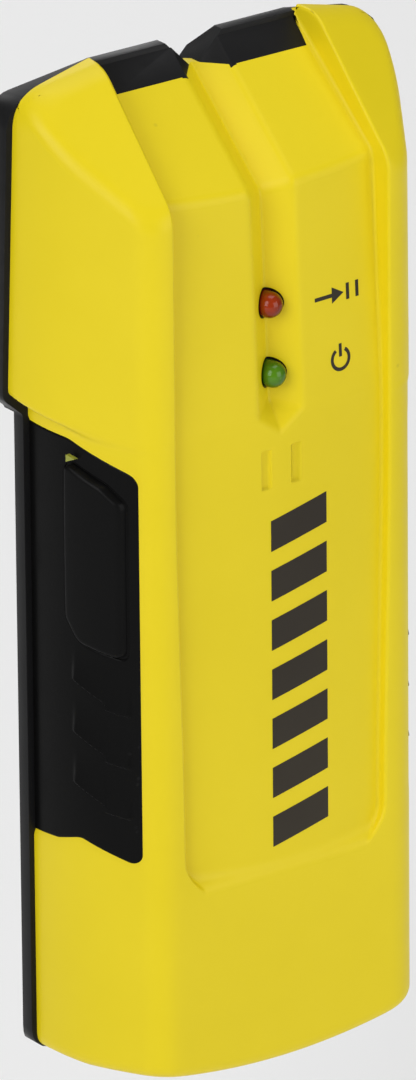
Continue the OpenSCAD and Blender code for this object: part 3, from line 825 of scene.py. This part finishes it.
def skinPatch(outline, columns, rowStep):
    # grid of depths and heights inside an outline, closer together near its edge
    dLow, dHigh = outline[:, 0].min() + 1e-4, outline[:, 0].max() - 1e-4
    t = 0.5 - 0.5 * np.cos(np.linspace(0, math.pi, columns + 1))
    mix = 0.6 * np.linspace(0, 1, columns + 1) + 0.4 * t
    d = dLow + (dHigh - dLow) * mix
    low, high = outlineSpan(outline, d)
    rows = int((high - low).max() / rowStep)
    s = np.linspace(0, 1, rows + 1)
    s = 0.85 * s + 0.15 * (0.5 - 0.5 * np.cos(s * math.pi))
    dd = np.repeat(d[None, :], rows + 1, axis=0)
    zz = low[None, :] + (high - low)[None, :] * s[:, None]
    return dd, zz


def patchPoints(outline, level, heightOf, columns, rowStep, roll, hole=None):
    # patch that stands on the side of the case, with a rolled edge
    dd, zz = skinPatch(outline, columns, rowStep)
    edge = -outlineDistance(dd, zz, outline)
    keep = np.ones(dd.shape, bool)
    if hole is not None:
        fromHole = outlineDistance(dd, zz, hole)
        edge = np.minimum(edge, fromHole)
        keep = fromHole > -0.02
    inside = np.clip(edge / roll, 0, 1)
    height = level + heightOf(dd, zz) - roll * 0.6 * (1 - np.sqrt(1 - (1 - inside) ** 2))
    start = np.full(dd.shape, case["bodyHalf"] + 4.0)
    zero = np.zeros_like(dd)

    def shape(x, d, z):
        return bodyShape(x, d, z) - height

    x, d, z = projectOnto(shape, start, dd, zz, np.ones_like(dd), zero, zero, reach=1.0, inward=16.0,
                          steps=70)
    return x, d, z, keep


def ringPatch(name, outline, level, heightOf, material, columns, rowStep, roll, skirt, hole=None,
              side=-1):
    # the patch as a piece, with a skirt that goes into the case
    x, d, z, keep = patchPoints(outline, level, heightOf, columns, rowStep, roll, hole)
    rows, cols = x.shape
    points = [tuple(p) for p in toWorld(side * x, d, z).reshape(-1, 3)]
    faces = []
    for i in range(rows - 1):
        for j in range(cols - 1):
            if keep[i, j] and keep[i + 1, j] and keep[i, j + 1] and keep[i + 1, j + 1]:
                a = i * cols + j
                face = (a, a + cols, a + cols + 1, a + 1)
                faces.append(face if side < 0 else face[::-1])
    mesh = bpy.data.meshes.new(name)
    mesh.from_pydata(points, [], faces)
    bm = bmesh.new()
    bm.from_mesh(mesh)
    loose = [v for v in bm.verts if not v.link_faces]
    bmesh.ops.delete(bm, geom=loose, context="VERTS")
    border = [e for e in bm.edges if e.is_boundary]
    out = bmesh.ops.extrude_edge_only(bm, edges=border)
    moved = [v for v in out["geom"] if isinstance(v, bmesh.types.BMVert)]
    for v in moved:
        v.co.x -= side * skirt * mm
    bmesh.ops.recalc_face_normals(bm, faces=bm.faces)
    bm.to_mesh(mesh)
    bm.free()
    mesh.materials.append(material)
    mesh.polygons.foreach_set("use_smooth", [True] * len(mesh.polygons))
    mesh.set_sharp_from_angle(angle=math.radians(50))
    return newObject(name, mesh)


gripLevel = grip["proud"] - grip["sink"]
gripLeft = ringPatch("gripLeft", gripOutline, gripLevel, ribHeight, finish["gripBlack"], 110, 0.14,
                     0.45, 1.2, hole=holeOutline)
# dark bed under the gap round the button
buttonBed = ringPatch("buttonBed", bedOutline, button["bedLift"] - grip["sink"], lambda d, z: 0 * d,
                      finish["gripBlack"], 30, 0.6, 0.05, 0.3)
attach(buttonBed, "case")
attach(gripLeft, "case")
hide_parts("grip_left")
gripRight = ringPatch("gripRight", gripOutline, gripLevel, ribHeight, finish["gripBlack"], 110, 0.14,
                      0.45, 1.2, side=1)
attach(gripRight, "case")
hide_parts("grip_right")


def padHeight(d, z):
    # gentle crown
    across = (d - 12.3) / 4.4
    along = (z - 5.5) / 14.0
    return button["crownHeight"] * (1 - 0.6 * across ** 2 - 0.4 * along ** 2)


pushPad = ringPatch("pushPad", buttonOutline, gripLevel + button["proud"], padHeight,
                    finish["buttonBlack"], 40, 0.3, 0.7, 5.2)
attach(pushPad, "button")
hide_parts("power_button")
print("stage: grips and button")


# ---- pieces repeated by geometry nodes

def repeatTree():
    # copies of one piece on the points of a mesh, each turned by the point's own angle
    tree = bpy.data.node_groups.new("repeatOnPoints", "GeometryNodeTree")
    face = tree.interface
    face.new_socket(name="Geometry", in_out="INPUT", socket_type="NodeSocketGeometry")
    face.new_socket(name="Piece", in_out="INPUT", socket_type="NodeSocketObject")
    face.new_socket(name="Material", in_out="INPUT", socket_type="NodeSocketMaterial")
    face.new_socket(name="Scale", in_out="INPUT", socket_type="NodeSocketFloat").default_value = 1.0
    face.new_socket(name="Geometry", in_out="OUTPUT", socket_type="NodeSocketGeometry")
    new, join = tree.nodes.new, tree.links.new
    start, end = new("NodeGroupInput"), new("NodeGroupOutput")
    info, copies = new("GeometryNodeObjectInfo"), new("GeometryNodeInstanceOnPoints")
    angle, turn = new("GeometryNodeInputNamedAttribute"), new("ShaderNodeCombineXYZ")
    real, paint = new("GeometryNodeRealizeInstances"), new("GeometryNodeSetMaterial")
    angle.data_type = "FLOAT"
    angle.inputs["Name"].default_value = "turn"
    join(start.outputs["Piece"], info.inputs["Object"])
    join(start.outputs["Geometry"], copies.inputs["Points"])
    join(info.outputs["Geometry"], copies.inputs["Instance"])
    join(angle.outputs["Attribute"], turn.inputs["Y"])
    join(turn.outputs["Vector"], copies.inputs["Rotation"])
    join(start.outputs["Scale"], copies.inputs["Scale"])
    join(copies.outputs["Instances"], real.inputs["Geometry"])
    join(real.outputs["Geometry"], paint.inputs["Geometry"])
    join(start.outputs["Material"], paint.inputs["Material"])
    join(paint.outputs["Geometry"], end.inputs["Geometry"])
    return tree


repeatGroup = repeatTree()


def repeated(name, places, seed, material, turns=None, scale=1.0):
    mesh = bpy.data.meshes.new(name)
    mesh.from_pydata([tuple(v) for v in places], [], [])
    turnOf = mesh.attributes.new("turn", "FLOAT", "POINT")
    turnOf.data.foreach_set("value", list(turns) if turns else [0.0] * len(places))
    carrier = newObject(name + "Points", mesh)
    copies = carrier.modifiers.new("repeat", "NODES")
    copies.node_group = repeatGroup
    sockets = {item.name: item.identifier for item in repeatGroup.interface.items_tree
               if item.in_out == "INPUT"}
    copies[sockets["Piece"]] = seed
    copies[sockets["Material"]] = material
    copies[sockets["Scale"]] = scale
    graph = bpy.context.evaluated_depsgraph_get()
    baked = bpy.data.meshes.new_from_object(carrier.evaluated_get(graph), depsgraph=graph)
    baked.name = name
    bpy.data.objects.remove(carrier)
    bpy.data.objects.remove(seed)
    if "turn" in baked.attributes:
        baked.attributes.remove(baked.attributes["turn"])
    return newObject(name, baked)


screw = {
    "caseSeats": [(-27, 50), (27, 50), (-23.7, -66), (23.7, -66)],
    "boardSeats": [(-18, 54), (18, 54), (-19, -9), (19, -9)],
    "headRadius": 2.5, "shankRadius": 1.15, "length": 9.0,
    "crossWidth": 0.42, "crossReach": 1.5, "crossDepth": 0.85, "pitch": 0.9,
}


def screwSeed(name):
    # pan head towards +Y with a cross recess, threaded shank towards -Y
    g = screw
    around = 48
    ringRadii = [0.0001, 0.3, 0.6, 0.9, 1.2, 1.5, 1.8, 2.1, 2.3, 2.42, 2.5]
    points, faces = [], []
    for r in ringRadii:
        for k in range(around):
            a = 2 * math.pi * k / around
            x, z = r * math.cos(a), r * math.sin(a)
            dome = -0.55 * (r / g["headRadius"]) ** 3
            arm = min(abs(x), abs(z)) < g["crossWidth"] * (1 - 0.25 * r / g["crossReach"])
            cut = g["crossDepth"] * max(0.0, 1 - (r / g["crossReach"]) ** 4) if arm else 0.0
            points.append((x * mm, (dome - cut) * mm, z * mm))
    profile = [(2.5, -1.3), (2.35, -1.6), (g["shankRadius"], -1.6)]
    turns = int(g["length"] / g["pitch"] * 2)
    for k in range(1, turns + 1):
        profile.append((g["shankRadius"] - (0.25 if k % 2 else 0.0), -1.6 - g["length"] * k / turns))
    profile.append((0.05, -1.7 - g["length"]))
    for r, y in profile:
        for k in range(around):
            a = 2 * math.pi * k / around
            points.append((r * math.cos(a) * mm, y * mm, r * math.sin(a) * mm))
    count = len(ringRadii) + len(profile)
    for i in range(count - 1):
        for k in range(around):
            a, b = i * around + k, i * around + (k + 1) % around
            faces.append((a, b, b + around, a + around))
    piece = meshPiece(name, points, faces, finish["blackOxide"])
    piece.data.set_sharp_from_angle(angle=math.radians(35))
    return piece


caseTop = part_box("case_screws")[1][1]
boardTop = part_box("board_screws")[1][1]
caseScrews = repeated("caseScrews", [(x * mm, caseTop, z * mm) for x, z in screw["caseSeats"]],
                      screwSeed("screwSeed"), finish["blackOxide"], [0.3, 1.1, 2.0, 0.7])
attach(caseScrews, "case")
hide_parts("case_screws")
boardScrews = repeated("boardScrews", [(x * mm, boardTop, z * mm) for x, z in screw["boardSeats"]],
                       screwSeed("screwSeed"), finish["brightPlate"], [0.9, 0.2, 1.4, 0.5], 0.72)
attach(boardScrews, "case")
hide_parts("board_screws")


ridge = {"count": 6, "first": -33.2, "pitch": 2.4, "plane": -0.4, "half": 8.6, "width": 0.95,
         "height": 0.3}


def ridgeSeed():
    # low bar with a round back and tapered ends
    g = ridge
    points = []
    across, along = 8, 26
    for i in range(along + 1):
        t = -1 + 2 * i / along
        end = math.sqrt(max(0.0, 1 - abs(t) ** 10))
        for j in range(across + 1):
            a = math.pi * j / across
            points.append((t * g["half"] * mm, (math.sin(a) * g["height"] * end - 0.1) * mm,
                           -math.cos(a) * g["width"] / 2 * end * mm))
    return meshPiece("ridgeSeed", points, gridFaces(along + 1, across + 1), finish["shellBlack"])


ridgePlaces = [(0, ridge["plane"] * mm, (ridge["first"] + ridge["pitch"] * k) * mm)
               for k in range(ridge["count"])]
thumbRidges = repeated("thumbRidges", ridgePlaces, ridgeSeed(), finish["shellBlack"])
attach(thumbRidges, "door")


# ---- foam pad behind the battery

pad = {"cells": 14, "corner": 1.6, "bulge": 0.25, "rough": 0.06, "seed": 7}


def foamPad():
    low, high = (Vector(v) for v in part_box("foam_pad"))
    middle, half = (low + high) / 2, (high - low) / 2
    bm = bmesh.new()
    bmesh.ops.create_cube(bm, size=2.0)
    bmesh.ops.subdivide_edges(bm, edges=bm.edges, cuts=pad["cells"], use_grid_fill=True)
    rng = np.random.default_rng(pad["seed"])
    corner = pad["corner"] * mm
    for v in bm.verts:
        p = Vector(v.co[i] * half[i] for i in range(3))
        core = Vector(max(-half[i] + corner, min(half[i] - corner, p[i])) for i in range(3))
        out = p - core
        if out.length > 1e-9:
            out = out.normalized() * corner
        crown = (1 - v.co.x ** 2) * (1 - v.co.z ** 2) * pad["bulge"] * mm
        out -= Vector((0, crown * (1 if v.co.y > 0.99 else 0), 0))
        v.co = middle + core + out * (1 - pad["rough"] * rng.random())
    mesh = bpy.data.meshes.new("foamPad")
    bm.to_mesh(mesh)
    bm.free()
    mesh.polygons.foreach_set("use_smooth", [True] * len(mesh.polygons))
    mesh.materials.append(finish["foamGrey"])
    return newObject("foamPad", mesh)


foam = foamPad()
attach(foam, "case")
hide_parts("foam_pad")
print("stage: screws, ridges and foam")


# ---- printed signs on the channel floor

signs = {
    "inkLift": 0.03,
    "edgeSign": {"x": 6.9, "z": 40.0, "height": 2.5, "line": 0.6},
    "powerSign": {"x": 11.3, "z": 30.2, "radius": 1.6, "line": 0.55},
    "bars": {"x": (-2.0, 8.2), "z": (-43.5, 11.0), "count": 7, "fill": 0.62, "slant": 2.2},
}


def frontDepthAt(x, z):
    x = np.asarray(x, float)
    z = np.asarray(z, float)
    start = np.full(x.shape, case["depth"])
    zero = np.zeros_like(x)
    _, d, _ = projectOnto(frontShape, x, start, z, zero, np.ones_like(x), zero)
    return d


def inkPiece(name, patches):
    # patches are grids of (x, z); each becomes a thin film on the floor
    points, faces = [], []
    for grid in patches:
        grid = np.array(grid, float)
        rows, cols = grid.shape[:2]
        d = frontDepthAt(grid[..., 0], grid[..., 1]) + signs["inkLift"]
        faces += gridFaces(rows, cols, start=len(points))
        points += [tuple(p) for p in toWorld(grid[..., 0], d, grid[..., 1]).reshape(-1, 3)]
    piece = meshPiece(name, points, faces, finish["markInk"])
    bm = bmesh.new()
    bm.from_mesh(piece.data)
    bmesh.ops.recalc_face_normals(bm, faces=bm.faces)
    for f in bm.faces:
        if f.normal.y > 0:
            f.normal_flip()
    bm.to_mesh(piece.data)
    bm.free()
    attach(piece, "case")
    return piece


def stroke(path, width):
    # band of even width along a list of (x, z)
    path = [Vector(p) for p in path]
    left, right = [], []
    for i, p in enumerate(path):
        a = path[max(i - 1, 0)]
        b = path[min(i + 1, len(path) - 1)]
        n = (b - a).normalized()
        n = Vector((-n.y, n.x)) * width / 2
        left.append(tuple(p + n))
        right.append(tuple(p - n))
    return [left, right]


def arcPath(x, z, r, a0, a1, n=28):
    return [(x + r * math.cos(math.radians(a0 + (a1 - a0) * i / n)),
             z + r * math.sin(math.radians(a0 + (a1 - a0) * i / n))) for i in range(n + 1)]


def quadGrid(corners, nx=6, nz=3):
    # bilinear grid over four corners, lower left first, counter-clockwise
    a, b, c, d = (Vector(p) for p in corners)
    return [[tuple((a.lerp(b, i / nx)).lerp(d.lerp(c, i / nx), j / nz)) for i in range(nx + 1)]
            for j in range(nz + 1)]


power = signs["powerSign"]
powerPatches = [stroke(arcPath(power["x"], power["z"] - 0.15, power["radius"], 122, 418), power["line"]),
                stroke([(power["x"], power["z"] + 0.2 + 0.5 * i) for i in range(5)], power["line"])]
edge = signs["edgeSign"]
edgeX, edgeZ, tall = edge["x"], edge["z"], edge["height"]
edgePatches = [                       # arrow shaft, arrow head, two upright lines
    stroke([(edgeX + 0.4 * i, edgeZ) for i in range(9)], edge["line"]),
    quadGrid([(edgeX + 3.2, edgeZ - tall / 2), (edgeX + 5.4, edgeZ - 0.02), (edgeX + 5.4, edgeZ + 0.02),
              (edgeX + 3.2, edgeZ + tall / 2)], 5, 2),
]
for along in (6.2, 8.0):
    edgePatches.append(stroke([(edgeX + along, edgeZ - tall / 2 + tall * i / 6) for i in range(7)],
                              edge["line"]))
inkPiece("inkSigns", powerPatches + edgePatches)
bars = signs["bars"]
pitch = (bars["z"][1] - bars["z"][0]) / bars["count"]
barPatches = []
for k in range(bars["count"]):
    z0 = bars["z"][0] + k * pitch
    z1 = z0 + pitch * bars["fill"]
    barPatches.append(quadGrid([(bars["x"][0], z0), (bars["x"][1], z0 + bars["slant"]),
                                (bars["x"][1], z1 + bars["slant"]), (bars["x"][0], z1)], 10, 4))
inkPiece("inkBars", barPatches)

lampShadowRing = {"heights": (40.5, 29.9), "inner": 1.9, "outer": 2.3, "lift": 0.04, "around": 48}


def lampSeats():
    # painted shadow: a dark ring round each lamp standing in for the shadow in the gap, lying on the walls
    # of the groove
    points, faces = [], []
    g = lampShadowRing
    for height in g["heights"]:
        start = len(points)
        for r in (g["inner"], g["outer"]):
            a = np.linspace(0, 2 * math.pi, g["around"], endpoint=False)
            x, z = r * np.cos(a), height + r * np.sin(a)
            points += [tuple(p) for p in toWorld(x, frontDepthAt(x, z) + g["lift"], z)]
        for k in range(g["around"]):
            n = (k + 1) % g["around"]
            faces.append((start + k, start + n, start + n + g["around"], start + k + g["around"]))
    piece = meshPiece("lampSeats", points, faces, finish["gripBlack"])
    for f in piece.data.polygons:
        if f.normal.y > 0:
            f.flip()
    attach(piece, "case")


lampSeats()
print("stage: printed signs and lamp seats")


# ---- floor, light and camera

studio = {
    "camera": (-1078.9, -1490.0, 743.7), "aim": (-4.1, -13.0, 1.54), "roll": -0.53, "lens": 299.9,
    "floorSize": 6.0, "worldStrength": 0.17,
    "floorGap": 0.064,               # metres under the case, so the door can slide out
    "floorColour": (0.93, 0.93, 0.93, 1), "floorRoughness": 0.9,
    "lights": [("keyLeft", (-1.3, -0.5, 0.75), (1.0, 1.2), 13.5),      # name, place, size, power
               ("fillFront", (0.55, -1.6, 0.35), (1.2, 1.2), 10),
               ("topSoft", (0.2, 0.1, 1.5), (1.4, 1.0), 9.5),
               ("backSoft", (0.4, 1.5, 0.6), (1.2, 1.2), 10)],
}


def addArea(name, place, size, power):
    data = bpy.data.lights.new(name, "AREA")
    data.shape = "RECTANGLE"
    data.size, data.size_y = size
    data.energy = power
    light = newObject(name, data)
    light.location = place
    light.rotation_euler = (-Vector(place)).to_track_quat("-Z", "Y").to_euler()


floorMesh = bpy.data.meshes.new("floor")
size = studio["floorSize"]
floorZ = cadBox[0][2] - studio["floorGap"]
floorMesh.from_pydata([(-size, -size, floorZ), (size, -size, floorZ), (size, size, floorZ),
                       (-size, size, floorZ)], [], [(0, 1, 2, 3)])
floorMaterial = bpy.data.materials.new("floorPaper")
floorMaterial.use_nodes = True
paper = floorMaterial.node_tree.nodes["Principled BSDF"]
paper.inputs["Base Color"].default_value = studio["floorColour"]
paper.inputs["Roughness"].default_value = studio["floorRoughness"]
floorMesh.materials.append(floorMaterial)
floor = newObject("floor", floorMesh)

world = bpy.data.worlds.new("studio")
world.use_nodes = True
world.node_tree.nodes["Background"].inputs["Color"].default_value = (1, 1, 1, 1)
world.node_tree.nodes["Background"].inputs["Strength"].default_value = studio["worldStrength"]
bpy.context.scene.world = world

for light in studio["lights"]:
    addArea(*light)

cameraData = bpy.data.cameras.new("camera")
cameraData.sensor_fit = "VERTICAL"
cameraData.sensor_height = 24.0
cameraData.lens = studio["lens"]
cameraData.clip_end = 20.0
camera = newObject("camera", cameraData)
camera.location = Vector(studio["camera"]) * mm
look = (Vector(studio["aim"]) - Vector(studio["camera"])).to_track_quat("-Z", "Y")
bpy.context.scene.view_settings.view_transform = "Standard"
camera.rotation_euler = (look.to_matrix() @ Matrix.Rotation(
    math.radians(studio["roll"]), 3, "Z")).to_euler()
bpy.context.scene.camera = camera
print("stage: floor, light and camera")
